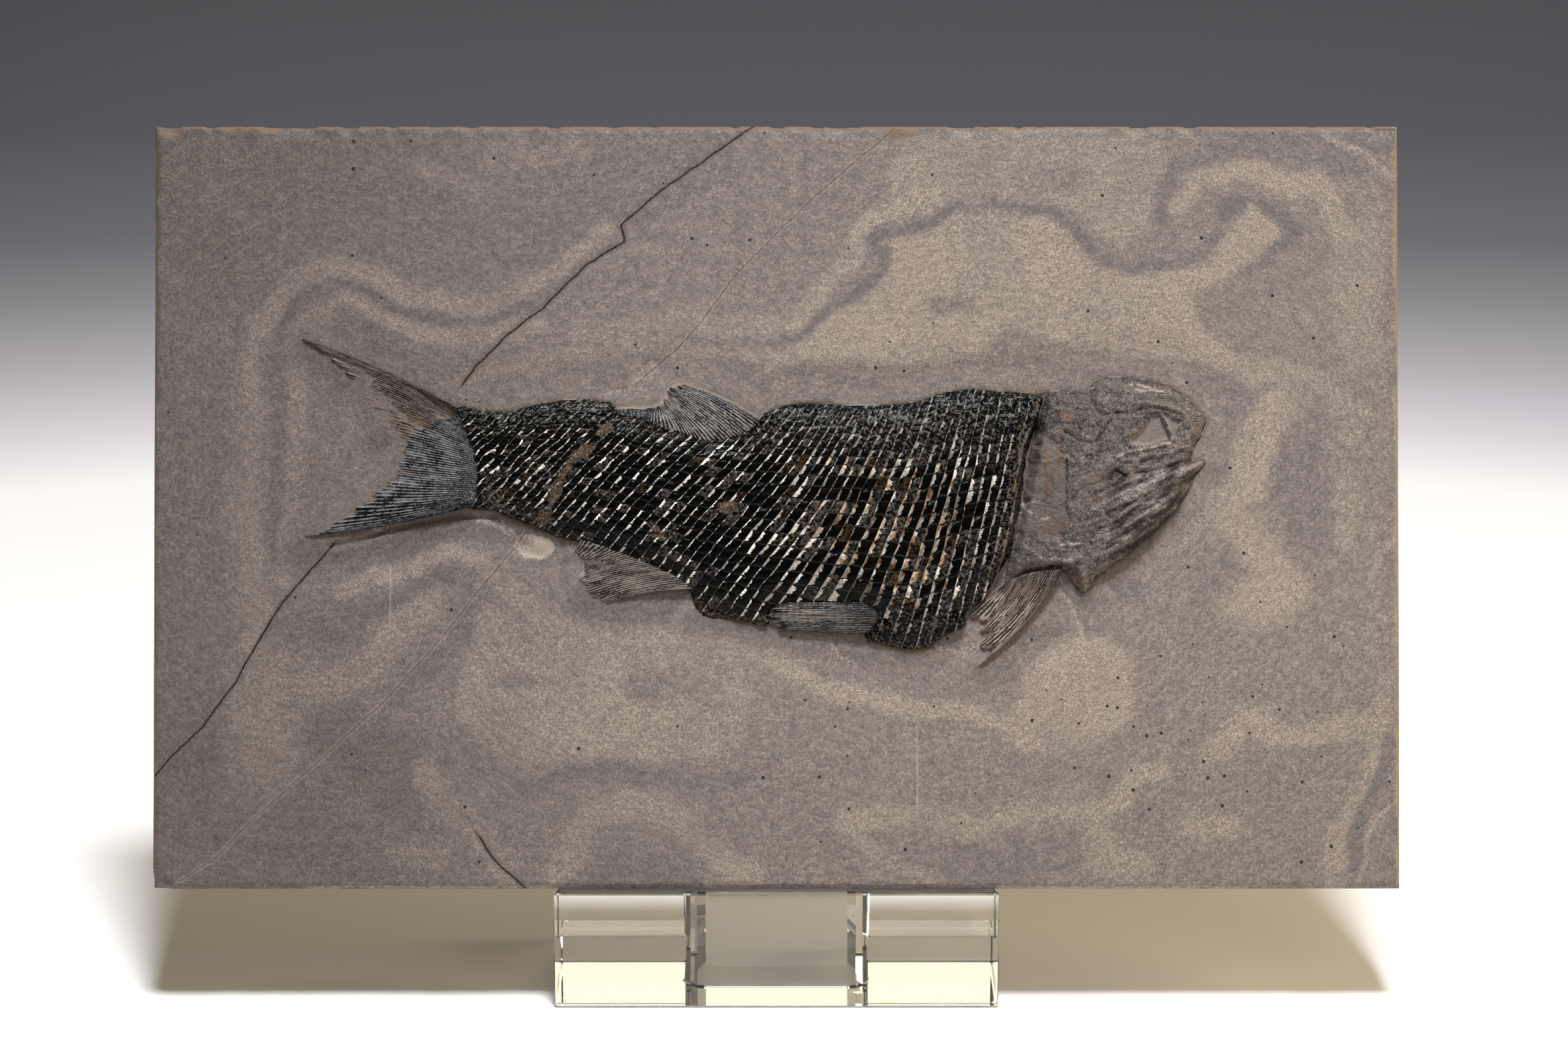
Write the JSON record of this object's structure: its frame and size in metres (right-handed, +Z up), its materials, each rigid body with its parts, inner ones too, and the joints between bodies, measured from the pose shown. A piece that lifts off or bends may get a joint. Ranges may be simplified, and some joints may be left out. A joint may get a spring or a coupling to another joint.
{
  "type": "fossil fish slab on easel",
  "caption": "Fossil ganoid fish in relief on a sawn limestone slab that leans on a clear acrylic easel, as a display specimen.",
  "frame": {"origin": "centre of the bounding box at its base, on the surface that the easel stands on", "axes": "+X along the slab's width towards the fish's head, +Y from the fish's face of the slab towards the easel's prongs, +Z up"},
  "size_m": [0.16, 0.0364, 0.1103],
  "materials": {
    "limestone": "matt, fine-grained, banded grey and tan",
    "ganoid_scale": "polished black enamel with cream edges",
    "fossil_bone": "grey-brown, glossy grains over a satin ground",
    "fin_ray": "grey-brown, streaked, satin",
    "clear_acrylic": "clear, flame-polished"
  },
  "bodies": {
    "root": {"matrix_slab": "limestone", "scale_coat": "ganoid_scale", "skull": "fossil_bone", "dorsal_fin": "fin_ray", "anal_fin": "fin_ray", "pelvic_fin": "fin_ray", "pectoral_fin": "fin_ray", "tail_fin": "fin_ray", "acrylic_easel": "clear_acrylic"}
  },
  "joints": []
}
